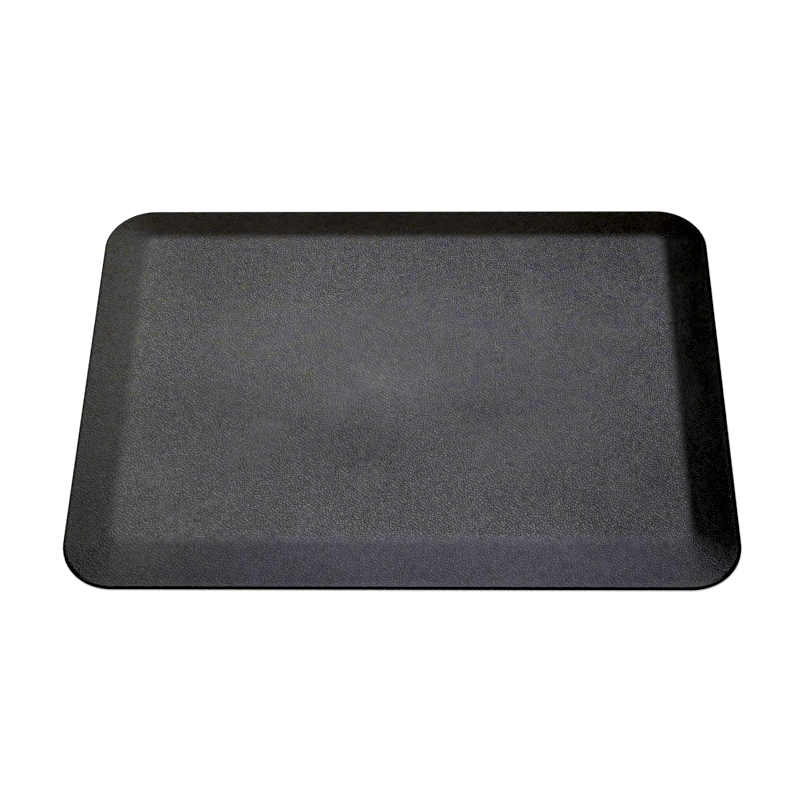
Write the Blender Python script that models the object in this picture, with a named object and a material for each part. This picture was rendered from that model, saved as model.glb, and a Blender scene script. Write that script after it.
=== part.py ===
"""Anti-fatigue standing mat: a formed skin over a bevelled foam core, above a rubber base sheet
whose edge stands out past the skin as a thin black rim.

Frame: metres, +Z up, +X along the long side, +Y towards the back edge. The origin is the centre
of the underside, on the floor.

Every piece is lofted through rounded rectangles. An "inset" is the plan distance of such an
outline inside the mat's outer edge."""

import math

import bmesh
import bpy

# ---- whole mat ----
WIDTH = 0.8128  # long side of the base sheet
DEPTH = 0.6096  # short side of the base sheet
HEIGHT = 0.01905  # floor to the standing surface
OUTER_RADIUS = 0.065  # plan radius of the four corners
PLATEAU_RADIUS = 0.012  # plan corner radius at the nominal crease

# ---- layers ----
BASE_THICKNESS = 0.0030
BASE_FOOT_CHAMFER = 0.0005  # lower edge of the base sheet
BASE_TOP_CHAMFER = 0.0003
FLANGE = 0.0012  # how far the base sheet stands out past the skin
SKIN_THICKNESS = 0.0012
GAP = 0.0003  # bond line left open between neighbouring layers
LAYER_FLOOR = BASE_THICKNESS + GAP  # underside of both the core and the skin's wall
SKIN_WALL_INSET = FLANGE + SKIN_THICKNESS  # inner face of the skin's upright wall

# ---- sloping border: rim, bulged slope, crease ----
BEVEL_WIDTH = 0.060  # inset of the nominal crease, where the slope would meet the flat
BEVEL_BULGE = 0.0004  # how far the slope stands proud of a straight line, halfway up
CREASE_HALF = 0.008  # the slope rounds into the flat over twice this width
CREASE_START = BEVEL_WIDTH - CREASE_HALF
CREASE_END = BEVEL_WIDTH + CREASE_HALF
RIM_HEIGHT = 0.0050  # floor to the start of the slope, before the shoulder is rounded
RIM_RADIUS = 0.0010  # rounded shoulder of the skin at the rim

RUN = BEVEL_WIDTH - FLANGE
RISE = HEIGHT - RIM_HEIGHT
BULGE_FACTOR = 4 * BEVEL_BULGE  # scales t * (1 - t), which peaks at 1/4
RIM_SLOPE = (RISE + BULGE_FACTOR) / RUN  # gradient at the rim, the steepest of the slope
LEAN = math.sqrt(1 + RIM_SLOPE * RIM_SLOPE)  # vertical size of a unit thickness square to it

# ---- mesh resolution ----
CORNER_STEPS = 14
SHOULDER_STEPS = 3
SLOPE_STEPS = 6
CREASE_STEPS = 6
SHARP_ANGLE = math.radians(28)  # edges that turn more than this are shaded sharp


def clear_scene():
    for obj in list(bpy.data.objects):
        bpy.data.objects.remove(obj)


# ---- materials ----
def material(name, colour, roughness):
    made = bpy.data.materials.new(name)
    made.use_nodes = True
    shader = made.node_tree.nodes["Principled BSDF"]
    shader.inputs["Base Color"].default_value = (*colour, 1)
    shader.inputs["Roughness"].default_value = roughness
    shader.inputs["Metallic"].default_value = 0.0
    made.diffuse_color = (*colour, 1)  # solid viewport colour
    return made


def base_rubber():
    return material("base_rubber", colour=(0.010, 0.010, 0.011), roughness=0.75)


def core_foam():
    return material("core_foam", colour=(0.045, 0.046, 0.050), roughness=0.95)


def leather_grain_skin():
    return material("leather_grain_skin", colour=(0.030, 0.030, 0.033), roughness=0.55)


# ---- shape of the mat ----
def outline(inset):
    """Plan points of the rounded rectangle at this inset, anticlockwise from above. The corner
    radius shrinks in proportion to the inset."""
    radius = OUTER_RADIUS + (PLATEAU_RADIUS - OUTER_RADIUS) * inset / BEVEL_WIDTH
    centre_x = WIDTH / 2 - inset - radius
    centre_y = DEPTH / 2 - inset - radius
    points = []
    for side_x, side_y, start in ((1, 1, 0), (-1, 1, 90), (-1, -1, 180), (1, -1, 270)):
        for k in range(CORNER_STEPS + 1):
            angle = math.radians(start + 90 * k / CORNER_STEPS)
            x = side_x * centre_x + radius * math.cos(angle)
            y = side_y * centre_y + radius * math.sin(angle)
            points.append((x, y))
    return points


def slope_height(inset):
    """Height of the bulged slope, from the skin's outer edge to the nominal crease."""
    t = (inset - FLANGE) / RUN
    return RIM_HEIGHT + RISE * t + BULGE_FACTOR * t * (1 - t)


def top_height(inset):
    """Height of the skin's outer surface: the slope, then a power curve that leaves it without
    a kink and runs level into the flat standing surface."""
    if inset <= CREASE_START:
        return slope_height(inset)
    if inset >= CREASE_END:
        return HEIGHT
    crease_width = 2 * CREASE_HALF
    drop = HEIGHT - slope_height(CREASE_START)
    start_gradient = (RISE + BULGE_FACTOR * (crease_width / RUN - 1)) / RUN
    power = crease_width * start_gradient / drop  # matches the slope's gradient at the start
    return HEIGHT - drop * ((CREASE_END - inset) / crease_width) ** power


def surface_insets():
    """Insets of the rings on the slope, then across the crease, going inwards."""
    slope_run = CREASE_START - FLANGE
    slope = [FLANGE + slope_run * k / SLOPE_STEPS for k in range(1, SLOPE_STEPS)]
    crease = [
        BEVEL_WIDTH + CREASE_HALF * (2 * k / CREASE_STEPS - 1) for k in range(CREASE_STEPS + 1)
    ]
    return slope + crease


def surface_profile(insets, drop=0.0):
    """(inset, height) points lying `drop` straight below the skin's outer surface."""
    return [(inset, top_height(inset) - drop) for inset in insets]


def shoulder_profile():
    """(inset, height) along the arc that is tangent to both the upright wall and the slope."""
    centre_inset = FLANGE + RIM_RADIUS
    centre_height = RIM_HEIGHT + RIM_SLOPE * RIM_RADIUS - RIM_RADIUS * LEAN
    sweep = math.pi / 2 - math.atan(RIM_SLOPE)
    points = []
    for k in range(SHOULDER_STEPS + 1):
        angle = math.pi - sweep * k / SHOULDER_STEPS
        inset = centre_inset + RIM_RADIUS * math.cos(angle)
        height = centre_height + RIM_RADIUS * math.sin(angle)
        points.append((inset, height))
    return points


def lofted(name, profile, surface):
    """Closed solid through one plan ring for each (inset, height) of the profile, with its first
    and last rings capped flat."""
    bm = bmesh.new()
    rings = [[bm.verts.new((x, y, height)) for x, y in outline(inset)] for inset, height in profile]
    count = len(rings[0])
    for ring, following in zip(rings, rings[1:]):
        for i in range(count):
            j = (i + 1) % count
            bm.faces.new((ring[i], ring[j], following[j], following[i]))
    bm.faces.new(list(reversed(rings[0])))
    bm.faces.new(rings[-1])
    bmesh.ops.recalc_face_normals(bm, faces=bm.faces[:])

    mesh = bpy.data.meshes.new(name)
    bm.to_mesh(mesh)
    bm.free()
    mesh.materials.append(surface)
    mesh.shade_smooth()
    mesh.set_sharp_from_angle(angle=SHARP_ANGLE)
    bpy.context.scene.collection.objects.link(bpy.data.objects.new(name, mesh))


# ---- pieces ----
def base_sheet():
    """Flat sheet with the mat's full outline, chamfered top and bottom."""
    profile = [
        (BASE_FOOT_CHAMFER, 0.0),
        (0.0, BASE_FOOT_CHAMFER),
        (0.0, BASE_THICKNESS - BASE_TOP_CHAMFER),
        (BASE_TOP_CHAMFER, BASE_THICKNESS),
    ]
    lofted("base_sheet", profile, base_rubber())


def foam_core():
    """Bevelled cushion inside the skin, one bond line clear of the skin and the base sheet."""
    edge = SKIN_WALL_INSET + GAP
    top = surface_profile([edge] + surface_insets(), drop=(SKIN_THICKNESS + GAP) * LEAN)
    lofted("foam_core", [(edge, LAYER_FLOOR)] + top, core_foam())


def top_skin():
    """Skin, open underneath: standing surface, slope, rounded shoulder and short upright wall."""
    inside = surface_profile([SKIN_WALL_INSET] + surface_insets(), drop=SKIN_THICKNESS * LEAN)
    wall_foot = [(SKIN_WALL_INSET, LAYER_FLOOR), (FLANGE, LAYER_FLOOR)]
    outside = shoulder_profile() + surface_profile(surface_insets())
    lofted("top_skin", inside[::-1] + wall_foot + outside, leather_grain_skin())


clear_scene()
base_sheet()
foam_core()
top_skin()
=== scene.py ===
"""A bevelled standing mat: a grained skin over a foam core, on a non-slip base sheet.

It lies flat on the floor, centred on the origin: X runs along its length, +X is right, -Y is the
front that faces the camera, +Y the back, and Z is up. Lengths are in metres. An "inset" is a plan
distance inwards from the outline of the base sheet.
"""

import math

import bmesh
import bpy
import numpy as np
from mathutils import Matrix, Vector
from mathutils.geometry import delaunay_2d_cdt


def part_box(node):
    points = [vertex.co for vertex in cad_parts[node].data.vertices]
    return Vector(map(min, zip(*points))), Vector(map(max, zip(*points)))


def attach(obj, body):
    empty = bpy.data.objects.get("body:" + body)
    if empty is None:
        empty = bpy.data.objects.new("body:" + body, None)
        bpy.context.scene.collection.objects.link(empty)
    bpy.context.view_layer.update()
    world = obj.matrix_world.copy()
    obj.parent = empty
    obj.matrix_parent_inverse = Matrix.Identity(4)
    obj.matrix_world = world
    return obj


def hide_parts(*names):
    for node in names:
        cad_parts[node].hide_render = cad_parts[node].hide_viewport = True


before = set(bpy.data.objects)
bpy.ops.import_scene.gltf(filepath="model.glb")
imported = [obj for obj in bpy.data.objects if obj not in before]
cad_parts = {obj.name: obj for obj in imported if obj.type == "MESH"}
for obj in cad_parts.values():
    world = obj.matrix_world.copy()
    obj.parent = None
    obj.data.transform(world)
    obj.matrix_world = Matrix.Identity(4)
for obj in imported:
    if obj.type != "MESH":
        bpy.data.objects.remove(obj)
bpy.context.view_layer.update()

# ---------------------------------------------------------------- sizes
OUTER_RADIUS = 0.065  # plan radius of the four corners
PLATEAU_RADIUS = 0.012  # plan radius where the bevels meet the standing surface
BEVEL_WIDTH = 0.060  # edge to the middle of the crease
BEVEL_BULGE = 0.0004  # how far the slope stands proud of a straight line
CREASE_HALF = 0.008  # half the width of the crease between slope and flat
RIM_HEIGHT = 0.0050  # where the slope would start without its rounded rim
RIM_RADIUS = 0.0010
SKIN_THICKNESS = 0.0012
GAP = 0.0003  # between neighbouring pieces

base_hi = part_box("base_sheet")[1]
skin_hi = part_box("top_skin")[1]
FOAM_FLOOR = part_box("foam_core")[0].z
HALF_X, HALF_Y, BASE_THICKNESS = base_hi
HEIGHT = skin_hi.z
FLANGE = base_hi.x - skin_hi.x  # how far the base sheet shows past the skin
RUN, RISE = BEVEL_WIDTH - FLANGE, HEIGHT - RIM_HEIGHT
RIM_SLOPE = (RISE + 4 * BEVEL_BULGE) / RUN  # steepness of the slope at the rim
SLANT = math.sqrt(1 + RIM_SLOPE * RIM_SLOPE)  # height through the slope per unit of thickness
RADIUS_RATE = (PLATEAU_RADIUS - OUTER_RADIUS) / BEVEL_WIDTH  # corner radius change per inset


# ---------------------------------------------------------------- shape of the mat
def ring(inset, corner_steps=32, step=0.004):
    """Plan points of the rounded rectangle at this inset, anticlockwise. The number of points is
    the same for every inset."""
    radius = OUTER_RADIUS + (PLATEAU_RADIUS - OUTER_RADIUS) * inset / BEVEL_WIDTH
    centre = np.array([HALF_X - inset - radius, HALF_Y - inset - radius])
    counts = [round(2 * (half - OUTER_RADIUS) / step) for half in (HALF_X, HALF_Y)] * 2
    arcs = []
    for quarter, signs in enumerate(((1, 1), (-1, 1), (-1, -1), (1, -1))):
        angle = np.radians(90 * quarter + 90 * np.arange(corner_steps + 1) / corner_steps)
        arcs.append(centre * signs + radius * np.stack([np.cos(angle), np.sin(angle)], 1))
    points = []
    for arc, following, count in zip(arcs, arcs[1:] + arcs[:1], counts):
        t = (np.arange(1, count) / count)[:, None]
        points += [arc, arc[-1] + (following[0] - arc[-1]) * t]
    return np.concatenate(points)


def inset_of(x, y):
    """Inset of each plan point, counted the way ring() counts it, so that the corners of the slope
    are cones: in a corner it is the root of a quadratic."""
    past_x, past_y = np.abs(x) - (HALF_X - OUTER_RADIUS), np.abs(y) - (HALF_Y - OUTER_RADIUS)
    straight = np.minimum(HALF_X - np.abs(x), HALF_Y - np.abs(y))
    travel = 1 + RADIUS_RATE  # how far the corner's centre moves per unit of inset
    square = 2 * travel * travel - RADIUS_RATE * RADIUS_RATE
    linear = 2 * (travel * (past_x + past_y) - RADIUS_RATE * OUTER_RADIUS)
    constant = past_x * past_x + past_y * past_y - OUTER_RADIUS**2
    root = np.sqrt(np.maximum(linear * linear - 4 * square * constant, 0))
    inset = (-linear + root) / (2 * square)
    in_corner = (past_x + travel * inset > 0) & (past_y + travel * inset > 0)
    return np.where(in_corner & (inset < 1.2 * BEVEL_WIDTH), inset, straight)


def slope_height(inset):
    t = (inset - FLANGE) / RUN
    return RIM_HEIGHT + RISE * t + 4 * BEVEL_BULGE * t * (1 - t)


def top_height(inset):
    """Height of the skin's outer surface: a gently bulged slope that rounds into the flat."""
    inset = np.asarray(inset, float)
    start, end = BEVEL_WIDTH - CREASE_HALF, BEVEL_WIDTH + CREASE_HALF
    drop = HEIGHT - slope_height(start)
    steepness = (RISE + 4 * BEVEL_BULGE * (2 * CREASE_HALF / RUN - 1)) / RUN
    power = 2 * CREASE_HALF * steepness / drop
    remaining = np.clip(end - inset, 0, 2 * CREASE_HALF) / (2 * CREASE_HALF)
    crease = HEIGHT - drop * remaining**power
    return np.where(inset <= start, slope_height(inset), np.where(inset >= end, HEIGHT, crease))


def smooth_noise(x, y, size, seed):
    """Value noise from -1 to 1 whose features are about this size."""
    table = np.random.default_rng(seed).uniform(-1, 1, (256, 256))
    u, v = x / size + 128, y / size + 128
    i, j = np.floor(u).astype(int), np.floor(v).astype(int)
    fu, fv = u - i, v - j
    fu, fv = fu**3 * (fu * (fu * 6 - 15) + 10), fv**3 * (fv * (fv * 6 - 15) + 10)
    near = table[i % 256, j % 256] * (1 - fu) + table[(i + 1) % 256, j % 256] * fu
    far = table[i % 256, (j + 1) % 256] * (1 - fu) + table[(i + 1) % 256, (j + 1) % 256] * fu
    return near * (1 - fv) + far * fv


RELIEF_DROP = 0.00023  # the sum of the amplitudes below, rounded up to keep the relief under zero


def relief(x, y):
    """Unevenness of the moulded top: long soft waves, shorter ones, and the coarse part of the
    grain. Never positive, so that the mat never stands above its own height."""
    waves = 0.00013 * smooth_noise(x, y, size=0.110, seed=11)
    waves = waves + 0.00006 * smooth_noise(x, y, size=0.047, seed=12)
    ripple = 0.000022 * smooth_noise(x + 0.3 * y, y, size=0.017, seed=13)
    ripple = ripple + 0.000018 * smooth_noise(x, y, size=0.0075, seed=14)
    return waves + ripple - RELIEF_DROP


# ---------------------------------------------------------------- mesh helpers
def lattice(spacing, margin):
    """Points of a triangular lattice whose inset is more than this margin."""
    row_pitch = spacing * math.sqrt(3) / 2
    rows = int(2 * HALF_Y / row_pitch) + 2
    columns = int(2 * HALF_X / spacing) + 2
    i, j = np.meshgrid(np.arange(columns), np.arange(rows), indexing="ij")
    x = -HALF_X + (i + 0.5 * (j % 2)) * spacing
    y = -HALF_Y + j * spacing * math.sqrt(3) / 2
    x, y = x.ravel(), y.ravel()
    inside = (np.abs(x) < HALF_X) & (np.abs(y) < HALF_Y)
    x, y = x[inside], y[inside]
    keep = inset_of(x, y) > margin
    return np.stack([x[keep], y[keep]], 1)


def stack(rings):
    """Vertices and faces for a list of (plan points, height) rings of equal length: side quads and
    one face that closes the first ring."""
    count = len(rings[0][0])
    vertices = np.concatenate(
        [np.column_stack([plan, np.broadcast_to(z, count)]) for plan, z in rings]
    )
    i = np.arange(count)
    j = (i + 1) % count
    faces = []
    for k in range(len(rings) - 1):
        low, high = k * count, (k + 1) * count
        faces += np.stack([low + i, low + j, high + j, high + i], 1).tolist()
    faces.append(list(range(count - 1, -1, -1)))
    return vertices, faces


def cover(vertices, faces, edge, spacing, margin, height):
    """Fills the last ring, whose plan points are `edge`, with triangles over an even lattice.
    height(x, y) lifts the lattice. Extends faces and returns all vertices."""
    inner = lattice(spacing, margin)
    points = [Vector(p) for p in np.concatenate([edge, inner])]
    out = delaunay_2d_cdt(points, [], [list(range(len(edge)))], 1, 1e-9)
    origins = out[3]
    if not all(origins) or len(out[0]) != len(points):
        raise RuntimeError("the fill added or lost points")
    first = len(vertices) - len(edge)
    faces += [[first + int(origins[v][0]) for v in face] for face in out[2]]
    z = height(inner[:, 0], inner[:, 1])
    return np.concatenate([vertices, np.column_stack([inner, z])])


def outward(bm):
    """Turns every face to look out of the closed body."""
    bmesh.ops.recalc_face_normals(bm, faces=bm.faces[:])
    if bm.calc_volume(signed=True) < 0:
        bmesh.ops.reverse_faces(bm, faces=bm.faces[:])


def finish_mesh(bm, mesh):
    outward(bm)
    bm.to_mesh(mesh)
    bm.free()
    mesh.shade_smooth()


def add_piece(mesh, node):
    piece = bpy.data.objects.new(mesh.name, mesh)
    bpy.context.scene.collection.objects.link(piece)
    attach(piece, "root")
    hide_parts(node)
    return piece


def shell_piece(name, vertices, faces, node):
    mesh = bpy.data.meshes.new(name)
    mesh.from_pydata([tuple(map(float, v)) for v in vertices], [], faces)
    bm = bmesh.new()
    bm.from_mesh(mesh)
    finish_mesh(bm, mesh)
    mesh.update()
    return add_piece(mesh, node)


def bell_attribute(mesh, name, distance, width, mask):
    """A point attribute that is 1 at zero distance and fades over this width."""
    made = mesh.attributes.new(name, "FLOAT", "POINT")
    values = np.exp(-((distance / width) ** 2)) * mask
    made.data.foreach_set("value", np.asarray(values, np.float32))


# ---------------------------------------------------------------- the formed skin
SKIN_SPACING = 0.00265  # lattice on the top surface
SKIN_LATTICE_START = 0.0016  # clear band between the rim and the lattice
RELIEF_FADE = 0.006  # the relief grows from nothing over this width
RIM_STEPS = 7
INNER_CHAMFER = 0.0002  # at the inner edges of the wall
UNDERSIDE_CLEARANCE = 0.00003


def make_skin():
    lean = math.atan(RIM_SLOPE)
    rim_centre = RIM_HEIGHT + RIM_SLOPE * RIM_RADIUS - RIM_RADIUS * SLANT
    floor = BASE_THICKNESS + GAP
    wall = FLANGE + SKIN_THICKNESS
    drop = SKIN_THICKNESS * SLANT

    # The underside, from the middle out to the wall.
    insets = [wall + INNER_CHAMFER]
    insets += [FLANGE + (RUN - CREASE_HALF) * t for t in (0.17, 0.33, 0.5, 0.67, 0.83)]
    insets += [BEVEL_WIDTH + CREASE_HALF * t for t in (-1, -0.6, -0.2, 0.2, 0.6, 1)]
    rings = [(ring(d), float(top_height(d)) - drop - UNDERSIDE_CLEARANCE) for d in reversed(insets)]
    # Down the inside of the wall, across its foot, and up to the rim: inset, height.
    wall_profile = [
        (wall, float(top_height(wall)) - drop - 0.0004),
        (wall, floor + INNER_CHAMFER),
        (wall - INNER_CHAMFER, floor),
        (FLANGE + 0.00025, floor),
        (FLANGE + 0.00006, floor + 0.0001),
        (FLANGE, floor + 0.0003),
    ]
    rings += [(ring(d), z) for d, z in wall_profile]
    for k in range(RIM_STEPS + 1):
        angle = math.pi - (math.pi / 2 - lean) * k / RIM_STEPS
        inset = FLANGE + RIM_RADIUS + RIM_RADIUS * math.cos(angle)
        rings.append((ring(inset), rim_centre + RIM_RADIUS * math.sin(angle)))
    vertices, faces = stack(rings)
    edge = rings[-1][0]
    # The outer surface starts one ring below the rounded rim.
    outer_start = len(vertices) - (RIM_STEPS + 2) * len(edge)

    edge_inset = FLANGE + RIM_RADIUS - RIM_RADIUS * math.sin(lean)

    def height(x, y):
        inset = inset_of(x, y)
        fade = np.clip((inset - edge_inset) / RELIEF_FADE, 0, 1)
        return top_height(inset) + fade * fade * (3 - 2 * fade) * relief(x, y)

    margin = edge_inset + SKIN_LATTICE_START
    vertices = cover(vertices, faces, edge, SKIN_SPACING, margin, height)
    piece = shell_piece("leather_grain_skin", vertices, faces, "top_skin")
    inset = inset_of(vertices[:, 0], vertices[:, 1])
    outer = np.arange(len(vertices)) >= outer_start
    bell_attribute(piece.data, "crease", inset - BEVEL_WIDTH, width=0.011, mask=outer)
    bell_attribute(piece.data, "shoulder", inset - FLANGE, width=0.0013, mask=outer)
    return piece


# ---------------------------------------------------------------- the bevelled foam inside it
FOAM_SPACING = 0.0055  # lattice on the top surface
FOAM_LATTICE_START = 0.0040  # clear band between the edge and the lattice
FOAM_SIDE_CLEARANCE = 0.0001
FOAM_TOP_CLEARANCE = 0.00025
FOAM_CHAMFER_WIDTH = 0.0006
FOAM_CHAMFER_HEIGHT = 0.0003


def make_foam():
    edge = FLANGE + SKIN_THICKNESS + GAP + FOAM_SIDE_CLEARANCE
    inner = edge + FOAM_CHAMFER_WIDTH
    drop = (SKIN_THICKNESS + GAP) * SLANT + FOAM_TOP_CLEARANCE
    profile = [
        (inner, FOAM_FLOOR),
        (edge, FOAM_FLOOR + FOAM_CHAMFER_HEIGHT),
        (edge, float(top_height(edge)) - drop - FOAM_CHAMFER_HEIGHT),
        (inner, float(top_height(inner)) - drop),
    ]
    rings = [(ring(d, corner_steps=16, step=0.008), z) for d, z in profile]
    vertices, faces = stack(rings)

    def height(x, y):
        dents = 0.00006 * smooth_noise(x, y, size=0.009, seed=31)
        dents = dents + 0.00005 * smooth_noise(x, y, size=0.0055, seed=32)
        return top_height(inset_of(x, y)) - drop + dents - 0.00011  # the sum of the amplitudes

    margin = edge + FOAM_LATTICE_START
    vertices = cover(vertices, faces, rings[-1][0], FOAM_SPACING, margin, height)
    return shell_piece("bevelled_foam_core", vertices, faces, "foam_core")


# ---------------------------------------------------------------- the non-slip base sheet
PAD_PITCH = 0.0130  # hexagonal grip pads moulded into the underside
PAD_ROW_PITCH = PAD_PITCH * math.sqrt(3) / 2
PAD_ROOT = 0.0114  # across flats where a pad leaves the sheet
PAD_FACE = 0.0106  # across flats where it meets the floor
PAD_DEPTH = 0.0006
BORDER = 0.009  # smooth band round the edge of the underside
BORDER_SLOPE = 0.0004  # width of the step up from the band
PAD_MARGIN = 0.0095  # border to the nearest pad centre
TOP_ROUND = 0.0004
FOOT_ROUND = 0.0005
SHARP_ANGLE = 40  # degrees


def hexagon(across_flats):
    """Plan corners, anticlockwise from 30 degrees."""
    angles = np.radians(30 + 60 * np.arange(6))
    return across_flats / math.sqrt(3) * np.stack([np.cos(angles), np.sin(angles)], 1)


def add_pads(vertices, faces):
    """Adds the pads and the strips of sheet between them. A pad's vertices are its six root
    corners, then its six face corners."""
    root, face = hexagon(PAD_ROOT), hexagon(PAD_FACE)
    pads = {}  # (column, row) to the pad's first vertex
    span_j, span_i = int(HALF_Y / PAD_ROW_PITCH) + 1, int(HALF_X / PAD_PITCH) + 1
    for j in range(-span_j, span_j + 1):
        for i in range(-span_i, span_i + 1):
            x, y = PAD_PITCH * (i + 0.5 * (j % 2)), PAD_ROW_PITCH * j
            if abs(x) < HALF_X and abs(y) < HALF_Y and inset_of(x, y) > BORDER + PAD_MARGIN:
                pads[i, j] = len(vertices)
                vertices += [(x + dx, y + dy, PAD_DEPTH) for dx, dy in root]
                vertices += [(x + dx, y + dy, 0.0) for dx, dy in face]

    # Seen in plan, corner 0 is upper right, 1 top, 2 upper left, 3 lower left, 4 foot and
    # 5 lower right.
    for (i, j), pad in pads.items():
        faces.append([pad + 6 + k for k in range(6)])
        for k in range(6):
            following = (k + 1) % 6
            faces.append([pad + k, pad + following, pad + 6 + following, pad + 6 + k])
        odd = j % 2
        east = pads.get((i + 1, j))
        north_east = pads.get((i + odd, j + 1))
        north_west = pads.get((i - 1 + odd, j + 1))
        if east:
            faces.append([pad, pad + 5, east + 3, east + 2])
        if north_east:
            faces.append([pad + 1, pad, north_east + 4, north_east + 3])
        if north_west:
            faces.append([pad + 2, pad + 1, north_west + 5, north_west + 4])
        if east and north_east:
            faces.append([pad, east + 2, north_east + 4])
        if north_east and north_west:
            faces.append([pad + 1, north_east + 3, north_west + 5])


def make_base():
    profile = []  # inset, height: from the top surface round to the underside
    quarter = np.radians([0, 30, 60, 90])
    for a in quarter:
        z = BASE_THICKNESS - TOP_ROUND + TOP_ROUND * math.cos(a)
        profile.append((TOP_ROUND - TOP_ROUND * math.sin(a), z))
    for a in quarter:
        z = FOOT_ROUND - FOOT_ROUND * math.sin(a)
        profile.append((FOOT_ROUND - FOOT_ROUND * math.cos(a), z))
    profile += [(BORDER, 0.0), (BORDER + BORDER_SLOPE, PAD_DEPTH)]
    vertices, faces = stack([(ring(d, step=0.008), z) for d, z in profile])
    # The rings run downwards here, so the faces are turned over.
    faces = [list(reversed(f)) for f in faces]
    vertices = [tuple(v) for v in vertices]
    add_pads(vertices, faces)

    bm = bmesh.new()
    made = [bm.verts.new(v) for v in vertices]
    for polygon in faces:
        bm.faces.new([made[v] for v in polygon])
    # Fill the strip between the border and the outermost pads.
    open_edges = [e for e in bm.edges if len(e.link_faces) == 1]
    bmesh.ops.triangle_fill(
        bm, use_beauty=True, use_dissolve=False, edges=open_edges, normal=(0, 0, -1)
    )
    mesh = bpy.data.meshes.new("grip_base_sheet")
    finish_mesh(bm, mesh)
    mesh.set_sharp_from_angle(angle=math.radians(SHARP_ANGLE))
    return add_piece(mesh, "base_sheet")


skin = make_skin()
foam = make_foam()
base = make_base()


# ---------------------------------------------------------------- node helpers
class Graph:
    """Short names for shader nodes. Values may be numbers, tuples or sockets."""

    def __init__(self, tree):
        self.tree = tree
        tree.nodes.clear()

    def node(self, kind, inputs=None, **settings):
        made = self.tree.nodes.new(kind)
        for name, value in settings.items():
            setattr(made, name, value)
        for name, value in (inputs or {}).items():
            if isinstance(value, bpy.types.NodeSocket):
                self.tree.links.new(value, made.inputs[name])
            elif value is not None:
                made.inputs[name].default_value = value
        return made

    def math(self, operation, *values):
        return self.node("ShaderNodeMath", dict(enumerate(values)), operation=operation).outputs[0]

    def plus(self, a, b):
        return self.math("ADD", a, b)

    def minus(self, a, b):
        return self.math("SUBTRACT", a, b)

    def times(self, a, b):
        return self.math("MULTIPLY", a, b)

    def negative(self, value):
        return self.times(value, -1.0)

    def inverse(self, value):
        return self.minus(1.0, value)

    def centred(self, value):
        return self.minus(value, 0.5)

    def bell(self, square):
        """exp(-square)"""
        return self.math("EXPONENT", self.negative(square))

    def weigh(self, value, weight, base=None):
        """value * weight, plus the base if there is one"""
        product = self.times(value, weight)
        return product if base is None else self.plus(product, base)

    def dimmed(self, value, mask, by):
        return self.times(value, self.inverse(self.weigh(mask, by)))

    def boosted(self, value, mask, by):
        return self.times(value, self.weigh(mask, by, base=1.0))

    def vector(self, operation, a, b=None, scale=None):
        inputs = {0: a, 1: b, "Scale": scale}
        made = self.node("ShaderNodeVectorMath", inputs, operation=operation)
        return made.outputs["Value" if operation == "DOT_PRODUCT" else "Vector"]

    def shifted(self, vector, by):
        return self.vector("ADD", vector, by)

    def warped(self, vector, reach, **noise):
        """The vector pushed about by coloured noise."""
        noise = self.noise(vector, output="Color", **noise)
        push = self.vector("SUBTRACT", noise, (0.5, 0.5, 0.5))
        return self.shifted(vector, by=self.vector("SCALE", push, scale=reach))

    def span(self, value, start, end, to=(0.0, 1.0), smooth=False):
        """Maps start..end to the range `to`, held level outside it."""
        inputs = {"Value": value, "From Min": start, "From Max": end}
        inputs.update({"To Min": to[0], "To Max": to[1]})
        kind = "SMOOTHSTEP" if smooth else "LINEAR"
        made = self.node("ShaderNodeMapRange", inputs, interpolation_type=kind, clamp=True)
        return made.outputs["Result"]

    def noise(self, vector, scale, detail=2.0, roughness=0.5, distortion=0.0, output="Fac"):
        inputs = {"Vector": vector, "Scale": scale, "Detail": detail}
        inputs.update({"Roughness": roughness, "Distortion": distortion})
        return self.node("ShaderNodeTexNoise", inputs).outputs[output]

    def cells(self, vector, size, feature="F1", randomness=1.0):
        inputs = {"Vector": vector, "Scale": 1 / size, "Randomness": randomness}
        settings = {"voronoi_dimensions": "2D", "feature": feature}
        return self.node("ShaderNodeTexVoronoi", inputs, **settings).outputs

    def mix(self, fac, a, b, blend="MIX"):
        inputs = {"Factor": fac, 6: a, 7: b}
        return self.node("ShaderNodeMix", inputs, data_type="RGBA", blend_type=blend).outputs[2]

    def tint(self, a, b):
        """Two colours multiplied together."""
        return self.mix(1.0, a, b, blend="MULTIPLY")

    def grey(self, value):
        return self.node("ShaderNodeCombineColor", dict.fromkeys(range(3), value)).outputs[0]

    def coordinates(self, output):
        return self.node("ShaderNodeTexCoord").outputs[output]

    def split(self, vector):
        return self.node("ShaderNodeSeparateXYZ", {0: vector}).outputs

    def attribute(self, name):
        return self.node("ShaderNodeAttribute", attribute_name=name).outputs["Fac"]

    def bump(self, height, distance):
        inputs = {"Strength": 1.0, "Distance": distance, "Height": height}
        return self.node("ShaderNodeBump", inputs).outputs[0]

    def finish(self, inputs):
        """Principled shader and material output."""
        shader = self.node("ShaderNodeBsdfPrincipled", inputs)
        self.node("ShaderNodeOutputMaterial", {"Surface": shader.outputs[0]})


def new_material(name, view_colour):
    made = bpy.data.materials.new(name)
    made.use_nodes = True
    made.diffuse_color = (*view_colour, 1)
    return made, Graph(made.node_tree)


# ---------------------------------------------------------------- leather-grain skin
WHITE = (1, 1, 1, 1)
BLACK_SKIN = (0.0128, 0.0125, 0.0124, 1)
PURPLE_FLECK = (0.0130, 0.0102, 0.0215, 1)
BROWN_FLECK = (0.0148, 0.0130, 0.0100, 1)
LINT = (0.13, 0.13, 0.125, 1)
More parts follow.
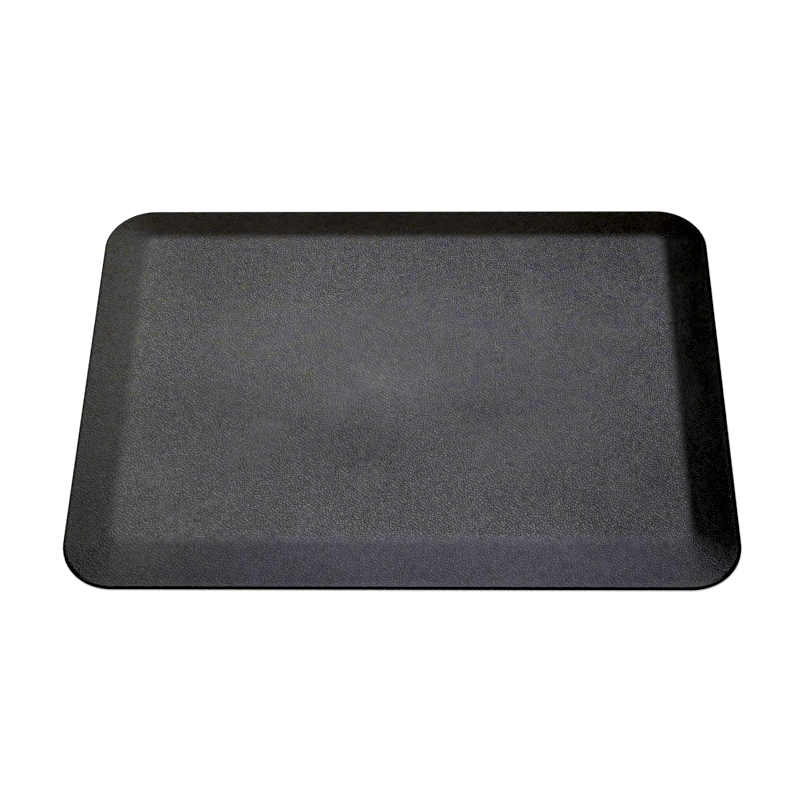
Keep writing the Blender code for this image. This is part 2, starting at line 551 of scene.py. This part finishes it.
# Tints of the reflection.
PLAIN_TINT = (0.935, 0.944, 0.972, 1)
PURPLE_TINT = (0.885, 0.842, 1.0, 1)
BROWN_TINT = (0.965, 0.952, 0.765, 1)
# Per-slope reflection tints: painted light, standing in for how the light falls on each slope.
FRONT_END_PAINTED_LIGHT_TINT = (0.975, 0.970, 0.965, 1)
FRONT_MIDDLE_PAINTED_LIGHT_TINT = (0.955, 0.893, 1.0, 1)
BACK_SLOPE_PAINTED_LIGHT_TINT = (1.0, 0.975, 0.905, 1)
RIGHT_SLOPE_PAINTED_LIGHT_TINT = (0.985, 1.0, 0.945, 1)

GRAIN_ANGLE = -50  # degrees, turns the stretched pebbles onto a diagonal
GRAIN_STRETCH = (0.6, 1, 1.0)
GRAIN_DEPTH = 0.00012
BASE_ROUGHNESS = 0.305
MEAN_SHEEN = 0.43  # sheen at which the contrast changes nothing
FOLD_X, FOLD_WIDTH = 0.3505, 0.0055  # dull line along the inner part of the right slope

# Broad patches of painted highlight and painted shade in the strength of the reflection.
SHEEN_AND_SHADE_SPOTS = [  # x, y, half width, half depth (metres), how much glossier or duller
    (0.000, 0.070, 0.200, 0.085, 0.20),
    (-0.060, -0.100, 0.080, 0.045, -0.20),
    (0.110, -0.055, 0.045, 0.030, -0.15),
    (-0.235, -0.035, 0.080, 0.035, -0.10),
    (0.309, -0.183, 0.125, 0.095, -0.27),
    (-0.269, -0.234, 0.250, 0.220, -0.15),
    (0.247, 0.218, 0.137, 0.058, -0.13),
    (-0.248, 0.300, 0.042, 0.183, -0.12),
    (-0.006, -0.012, 0.077, 0.035, 0.21),
    (0.200, 0.080, 0.060, 0.080, 0.05),
    (-0.375, 0.060, 0.030, 0.130, 0.14),
    (0.300, 0.280, 0.070, 0.040, -0.20),
    (-0.110, 0.275, 0.070, 0.025, -0.08),
    (0.376, 0.080, 0.020, 0.160, -0.23),
    (-0.375, 0.200, 0.030, 0.045, 0.13),
    (-0.375, -0.220, 0.030, 0.050, -0.09),
    (-0.030, -0.275, 0.030, 0.020, 0.08),
    (-0.130, 0.110, 0.080, 0.050, 0.06),
]


def skin_grain(g, place):
    """Small creased pebbles whose valleys line up along one diagonal, more in some places than in
    others, with finer wrinkles and pores on top. Returns pebble crests, wrinkle crests, bump."""
    bent = g.warped(place, reach=0.0028, scale=210.0, roughness=0.55)
    inputs = {"Vector": bent, "Angle": math.radians(GRAIN_ANGLE)}
    turn = g.node("ShaderNodeVectorRotate", inputs, rotation_type="Z_AXIS")
    stretched = g.vector("MULTIPLY", turn.outputs["Vector"], GRAIN_STRETCH)
    aligned = g.span(g.noise(place, scale=16.0), start=0.28, end=0.42)
    edges = "DISTANCE_TO_EDGE"
    round_cells = g.cells(bent, size=0.0028, feature=edges, randomness=0.9)["Distance"]
    long_cells = g.cells(stretched, size=0.0024, feature=edges, randomness=0.9)["Distance"]
    pebble = g.plus(g.times(long_cells, aligned), g.times(round_cells, g.inverse(aligned)))
    wrinkle = g.cells(g.shifted(bent, by=(0.31, 0.17, 0)), size=0.0015, feature=edges)["Distance"]
    crest = g.span(pebble, start=0.0, end=0.3, smooth=True)
    fine = g.span(wrinkle, start=0.0, end=0.35, smooth=True)
    pores = g.noise(place, scale=1300.0, roughness=0.6)
    height = g.plus(g.weigh(crest, weight=0.80), g.weigh(fine, weight=0.16))
    height = g.plus(height, g.weigh(pores, weight=0.1))
    height = g.dimmed(height, g.attribute("shoulder"), by=0.7)
    return crest, fine, g.bump(height, distance=GRAIN_DEPTH)


def skin_flecks(g, place, x, y):
    """Masks of small flecks: purple ones to the right and brown ones, more to the left. Both thin
    out towards the front."""
    drifted = g.plus(x, g.weigh(g.noise(place, scale=7.0), weight=0.5))
    side = g.span(drifted, start=-0.10, end=0.30)
    patch = g.noise(place, scale=62.0, detail=3.0, roughness=0.6, distortion=0.3)
    right_limit = g.span(x, start=0.354, end=0.338)
    purple = g.times(g.span(patch, start=0.475, end=0.355), g.times(side, right_limit))
    brown = g.dimmed(g.span(patch, start=0.535, end=0.655), side, by=0.5)
    spread = g.span(y, start=-0.16, end=0.06, to=(0.35, 1.0))
    back_limit = g.span(y, start=0.250, end=0.236, to=(0.25, 1.0))
    return g.times(purple, g.times(spread, back_limit)), g.times(brown, spread)


def skin_colour(g, place, purple, brown, crest, painted_rim_shade):
    """A neutral black with flecks, valleys darkened as painted shade, a few specks of pale lint,
    and painted shade on the rim away from the front.
    """
    colour = g.mix(brown, g.mix(purple, BLACK_SKIN, PURPLE_FLECK), BROWN_FLECK)
    # Painted shade: the grain valleys are darker than the crests.
    colour = g.tint(colour, g.grey(g.weigh(crest, weight=0.70, base=0.30)))
    lint = g.cells(g.shifted(place, by=(5.3, 2.4, 0)), size=0.075)
    chance = g.node("ShaderNodeSeparateColor", {0: lint["Color"]}).outputs[0]
    chosen = g.math("GREATER_THAN", chance, 0.90)  # one cell in ten holds a speck
    speck = g.times(g.span(lint["Distance"], start=0.0115, end=0.0075), chosen)
    colour = g.mix(speck, colour, LINT)
    # Painted shade darkens the rim where it turns away from the front.
    return g.tint(colour, g.grey(g.inverse(g.weigh(painted_rim_shade, weight=0.7))))


def skin_slopes(g, facing):
    """Masks of the front, right, back and left slopes, from the way the surface faces."""
    across = g.weigh(g.math("ABSOLUTE", facing["X"]), weight=0.8)
    along = g.weigh(g.math("ABSOLUTE", facing["Y"]), weight=0.8)
    directions = (
        (g.negative(facing["Y"]), across),
        (facing["X"], along),
        (facing["Y"], across),
        (g.negative(facing["X"]), along),
    )
    return [g.span(g.minus(toward, aside), start=0.03, end=0.13) for toward, aside in directions]


def paint_sheen_and_shade_spots(g, specular, place, x, y):
    """Broad glossier and duller patches of painted highlight and painted shade, with ragged edges,
    and the fold line on the right.
    """
    ragged = g.warped(place, reach=0.085, scale=14.0, detail=3.0, roughness=0.55)
    for spot_x, spot_y, half_width, half_depth, gain in SHEEN_AND_SHADE_SPOTS:
        offset = g.vector("SUBTRACT", ragged, (spot_x, spot_y, 0))
        offset = g.vector("MULTIPLY", offset, (1 / half_width, 1 / half_depth, 0))
        spot = g.bell(g.vector("DOT_PRODUCT", offset, offset))
        specular = g.boosted(specular, spot, by=gain)
    offset = g.math("DIVIDE", g.minus(x, FOLD_X), FOLD_WIDTH)
    fold = g.bell(g.times(offset, offset))
    fold = g.times(fold, g.span(g.math("ABSOLUTE", y), start=0.250, end=0.225))
    return g.dimmed(specular, fold, by=0.26)


def skin_material():
    material, g = new_material("leather_grain_polyurethane", view_colour=(0.02, 0.02, 0.022))
    place = g.coordinates("Object")
    crest, fine, bump = skin_grain(g, place)
    axes = g.split(place)
    x, y = axes["X"], axes["Y"]
    purple, brown = skin_flecks(g, place, x, y)

    # Painted highlight on the rim where it faces the front, and painted shade on the rim elsewhere,
    # in its colour and its reflection.
    rubbed = g.attribute("crease")
    turned = g.attribute("shoulder")
    facing = g.split(g.node("ShaderNodeNewGeometry").outputs["Normal"])
    forward = g.minus(g.negative(facing["Y"]), g.math("ABSOLUTE", facing["X"]))
    near = g.span(forward, start=0.0, end=0.15)
    painted_rim_highlight = g.times(turned, near)
    painted_rim_shade = g.times(turned, g.inverse(near))
    upright = g.span(facing["Z"], start=0.55, end=0.15)
    front, right, back, left = skin_slopes(g, facing)
    colour = skin_colour(g, place, purple, brown, crest, painted_rim_shade)

    # The pebbles' sheen stands out most towards the back and less on the slopes, which is painted
    # light set to how the light falls there; it is also weaker where the skin turns down at the
    # rim.
    contrast = g.span(y, start=-0.12, end=0.14, to=(1.56, 1.85))
    contrast = g.times(contrast, g.span(x, start=-0.22, end=-0.05, to=(0.88, 1.0)))
    for mask, cut in ((front, 0.54), (right, 0.70), (left, 0.30), (back, 0.50), (turned, 0.75)):
        contrast = g.dimmed(contrast, mask, by=cut)

    # Satin, a little smoother on the crease, with soft dull patches.
    dull = g.noise(g.shifted(place, by=(1.3, 0.2, 0)), scale=6.5, detail=3.0, roughness=0.55)
    fleck = g.noise(g.shifted(place, by=(3.1, 1.7, 0)), scale=120.0, detail=3.0, roughness=0.6)
    rough = g.plus(BASE_ROUGHNESS, g.weigh(g.centred(dull), weight=0.05))
    rough = g.plus(rough, g.weigh(g.centred(fleck), weight=0.03))
    rough = g.minus(rough, g.weigh(rubbed, weight=0.01))

    # Strength of the reflection: pebbles, with the valleys dimmed as painted shade, tiny glints,
    # then flecks and dull patches.
    sheen = g.plus(g.weigh(crest, weight=0.64), g.weigh(fine, weight=0.20))
    specular = g.weigh(g.minus(sheen, MEAN_SHEEN), weight=contrast, base=0.81)
    specular = g.weigh(specular, weight=0.638)
    sparkle = g.noise(g.shifted(place, by=(0.9, 4.1, 0)), scale=760.0, detail=1.0)
    glint = g.times(g.span(sparkle, start=0.56, end=0.70), crest)
    glint_gain = g.weigh(glint, weight=g.weigh(contrast, weight=0.42), base=0.95)
    specular = g.times(specular, glint_gain)
    specular = g.times(specular, g.span(fleck, start=0.3, end=0.7, to=(0.88, 1.12)))
    specular = g.times(specular, g.span(dull, start=0.3, end=0.7, to=(1.04, 0.96)))
    # Painted highlight on the front of the rim; painted shade on the rest of the rim and on the
    # back slope; the upright wall reflects less.
    specular = g.boosted(specular, painted_rim_highlight, by=0.65)
    for mask, cut in ((painted_rim_shade, 0.85), (upright, 0.6), (back, 0.11)):
        specular = g.dimmed(specular, mask, by=cut)

    # Painted light on the slopes: the front slope is greyer at its two ends, and a touch glossier
    # and more purple between; the back and right slopes get painted tints of their own.
    blur = g.noise(g.shifted(place, by=(7.7, 0.4, 0)), scale=34.0, detail=3.0, roughness=0.6)
    lengthways = g.plus(x, g.weigh(g.centred(blur), weight=0.16))
    left_end = g.span(lengthways, start=-0.27, end=-0.16)
    middle = g.times(left_end, g.span(lengthways, start=0.345, end=0.295))
    tint = g.mix(brown, g.mix(purple, PLAIN_TINT, PURPLE_TINT), BROWN_TINT)
    front_painted_light_tint = g.mix(middle, FRONT_END_PAINTED_LIGHT_TINT, FRONT_MIDDLE_PAINTED_LIGHT_TINT)
    for mask, slope_painted_light_tint in ((front, front_painted_light_tint), (back, BACK_SLOPE_PAINTED_LIGHT_TINT), (right, RIGHT_SLOPE_PAINTED_LIGHT_TINT)):
        tint = g.tint(tint, g.mix(mask, WHITE, slope_painted_light_tint))
    left_end = g.span(lengthways, start=-0.23, end=-0.02)
    broad = g.times(left_end, g.span(lengthways, start=0.320, end=0.20))
    specular = g.boosted(specular, g.weigh(broad, weight=0.12, base=0.030), by=front)

    g.finish({
        "Base Color": colour,
        "Roughness": rough,
        "Specular IOR Level": paint_sheen_and_shade_spots(g, specular, place, x, y),
        "Specular Tint": tint,
        "Normal": bump,
    })
    return material


# ---------------------------------------------------------------- rubber and foam
def base_material():
    material, g = new_material("non_slip_rubber", view_colour=(0.006, 0.006, 0.006))
    place = g.coordinates("Object")
    fine = g.noise(place, scale=2600.0, detail=3.0, roughness=0.6)
    flattened = g.vector("MULTIPLY", place, (1.0, 1.0, 6.0))  # streaks along the cut edge
    cut = g.noise(flattened, scale=420.0, detail=3.0, roughness=0.6)
    height = g.plus(fine, g.weigh(cut, weight=0.8))
    patch = g.noise(place, scale=30.0, detail=3.0, roughness=0.6)
    g.finish({
        "Base Color": g.mix(patch, (0.0025, 0.0025, 0.0027, 1), (0.0050, 0.0048, 0.0048, 1)),
        "Roughness": g.span(patch, start=0.3, end=0.7, to=(0.72, 0.86)),
        "Specular IOR Level": 0.08,
        "Normal": g.bump(height, distance=0.00005),
    })
    return material


def foam_material():
    material, g = new_material("open_cell_foam", view_colour=(0.045, 0.046, 0.05))
    place = g.coordinates("Object")
    cell_size = 0.0011
    inputs = {"Vector": place, "Scale": 1 / cell_size, "Smoothness": 0.25}
    bubble = g.node("ShaderNodeTexVoronoi", inputs, feature="SMOOTH_F1")
    wall = g.span(bubble.outputs["Distance"], start=0.15, end=0.75)
    patch = g.noise(place, scale=40.0, detail=3.0, roughness=0.6)
    colour = g.mix(wall, (0.012, 0.012, 0.014, 1), (0.060, 0.061, 0.066, 1))
    shade = g.span(patch, start=0.3, end=0.7, to=(0.8, 1.0))
    g.finish({
        "Base Color": g.tint(colour, g.grey(shade)),
        "Roughness": 0.95,
        "Specular IOR Level": 0.2,
        "Normal": g.bump(wall, distance=0.0003),
    })
    return material


skin.data.materials.append(skin_material())
base.data.materials.append(base_material())
foam.data.materials.append(foam_material())

# The replaced CAD nodes stay hidden, and get the same finishes in case they are shown.
for node, piece in (("top_skin", skin), ("base_sheet", base), ("foam_core", foam)):
    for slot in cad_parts[node].material_slots:
        slot.material = piece.data.materials[0]


# ---------------------------------------------------------------- floor
FLOOR_HALF, FLOOR_Z = 12, -0.0002


def make_floor():
    mesh = bpy.data.meshes.new("floor")
    signs = ((-1, -1), (1, -1), (1, 1), (-1, 1))
    corners = [(sx * FLOOR_HALF, sy * FLOOR_HALF, FLOOR_Z) for sx, sy in signs]
    mesh.from_pydata(corners, [], [(0, 1, 2, 3)])
    floor = bpy.data.objects.new("floor", mesh)
    bpy.context.scene.collection.objects.link(floor)
    material, g = new_material("pale_floor", view_colour=(0.9, 0.9, 0.9))
    g.finish({
        "Base Color": (0.92, 0.92, 0.92, 1),
        "Roughness": 0.9,
        "Specular IOR Level": 0.1,
        "Emission Color": WHITE,
        "Emission Strength": 0.25,
    })
    mesh.materials.append(material)


make_floor()

# ---------------------------------------------------------------- light
# Soft studio light, as broad overlapping glows: azimuth, elevation (degrees), colour. Azimuth 0 is
# +Y, behind the mat, and 90 is +X. The brightest glow hangs high behind the mat.
GLOWS = [
    (-75, 10, (0.31, 0.31, 0.30)), (-50, 10, (0.35, 0.35, 0.34)),
    (-25, 10, (0.03, 0.02, 0.00)), (0, 10, (0.03, 0.02, 0.00)),
    (50, 10, (0.14, 0.13, 0.12)), (75, 10, (0.13, 0.13, 0.12)),
    (-75, 25, (0.32, 0.32, 0.30)), (-50, 25, (0.60, 0.59, 0.56)),
    (-25, 25, (0.06, 0.04, 0.00)), (0, 25, (0.03, 0.01, 0.00)),
    (50, 25, (0.15, 0.14, 0.12)), (75, 25, (0.14, 0.14, 0.12)),
    (-75, 40, (0.04, 0.04, 0.00)), (-50, 40, (0.57, 0.56, 0.53)),
    (-25, 40, (0.82, 0.80, 0.78)), (0, 40, (0.18, 0.16, 0.15)),
    (75, 40, (0.02, 0.02, 0.00)),
    (-75, 55, (0.05, 0.05, 0.01)), (-50, 55, (0.08, 0.08, 0.06)),
    (-25, 55, (0.75, 0.75, 0.78)), (0, 55, (2.96, 2.96, 3.02)),
    (25, 55, (0.09, 0.09, 0.12)),
    (-67, 70, (0.39, 0.39, 0.40)), (-33, 70, (0.35, 0.36, 0.41)),
    (0, 70, (1.37, 1.38, 1.46)), (33, 70, (0.96, 0.96, 1.02)),
    (67, 70, (0.23, 0.23, 0.25)),
    (0, 88, (1.58, 1.58, 1.64)),
    (120, 15, (0.90, 0.91, 0.90)), (180, 15, (0.90, 0.91, 0.90)), (240, 15, (0.91, 0.91, 0.90)),
    (120, 45, (0.63, 0.63, 0.60)), (180, 45, (0.63, 0.63, 0.60)), (240, 45, (0.63, 0.63, 0.60)),
    (180, 75, (0.37, 0.36, 0.35)),
]
GLOW_SHARPNESS = 22.0


def set_world():
    """The glows light the mat, while the camera sees a plain white backdrop."""
    world = bpy.data.worlds.new("studio")
    bpy.context.scene.world = world
    world.use_nodes = True
    g = Graph(world.node_tree)
    direction = g.coordinates("Generated")
    total = None
    for azimuth, elevation, colour in GLOWS:
        a, e = math.radians(azimuth), math.radians(elevation)
        centre = (math.sin(a) * math.cos(e), math.cos(a) * math.cos(e), math.sin(e))
        fall = g.minus(g.vector("DOT_PRODUCT", direction, centre), 1.0)
        strength = g.math("EXPONENT", g.times(fall, GLOW_SHARPNESS))
        glow = g.vector("SCALE", colour, scale=strength)
        total = glow if total is None else g.vector("ADD", total, glow)
    light = g.node("ShaderNodeBackground", {"Color": total}).outputs[0]
    backdrop = g.node("ShaderNodeBackground", {"Color": WHITE, "Strength": 1.0}).outputs[0]
    seen = g.node("ShaderNodeLightPath").outputs["Is Camera Ray"]
    choose = g.node("ShaderNodeMixShader", {0: seen, 1: light, 2: backdrop})
    g.node("ShaderNodeOutputWorld", {"Surface": choose.outputs[0]})


set_world()

# ---------------------------------------------------------------- colour grade and camera
BLACK_LEVEL = 0.03  # deepens the blacks

scene = bpy.context.scene
scene.view_settings.view_transform = "Standard"
scene.view_settings.look = "None"
scene.view_settings.use_curve_mapping = True
grade = scene.view_settings.curve_mapping
grade.black_level = (BLACK_LEVEL,) * 3
grade.update()

# The camera looks down at the target from the front; azimuth is counted from -Y towards +X.
AZIMUTH, ELEVATION, ROLL = math.radians(1.7079), math.radians(52.0031), math.radians(-1.3372)
DISTANCE, TARGET = 2.45160, Vector((-0.00387, -0.01984, 0.0))


def make_camera():
    level = math.cos(ELEVATION)
    back = (math.sin(AZIMUTH) * level, -math.cos(AZIMUTH) * level, math.sin(ELEVATION))
    back = Vector(back)
    right = Vector((math.cos(AZIMUTH), math.sin(AZIMUTH), 0))
    up = back.cross(right)
    cos, sin = math.cos(ROLL), math.sin(ROLL)
    right, up = cos * right + sin * up, -sin * right + cos * up
    data = bpy.data.cameras.new("camera")
    data.sensor_width = 36.0
    data.lens = 86.90
    data.shift_y = -0.00056
    data.clip_start, data.clip_end = 0.05, 60
    camera = bpy.data.objects.new("camera", data)
    scene.collection.objects.link(camera)
    pose = Matrix((right, up, back)).transposed().to_4x4()
    pose.translation = TARGET + back * DISTANCE
    camera.matrix_world = pose
    scene.camera = camera


make_camera()
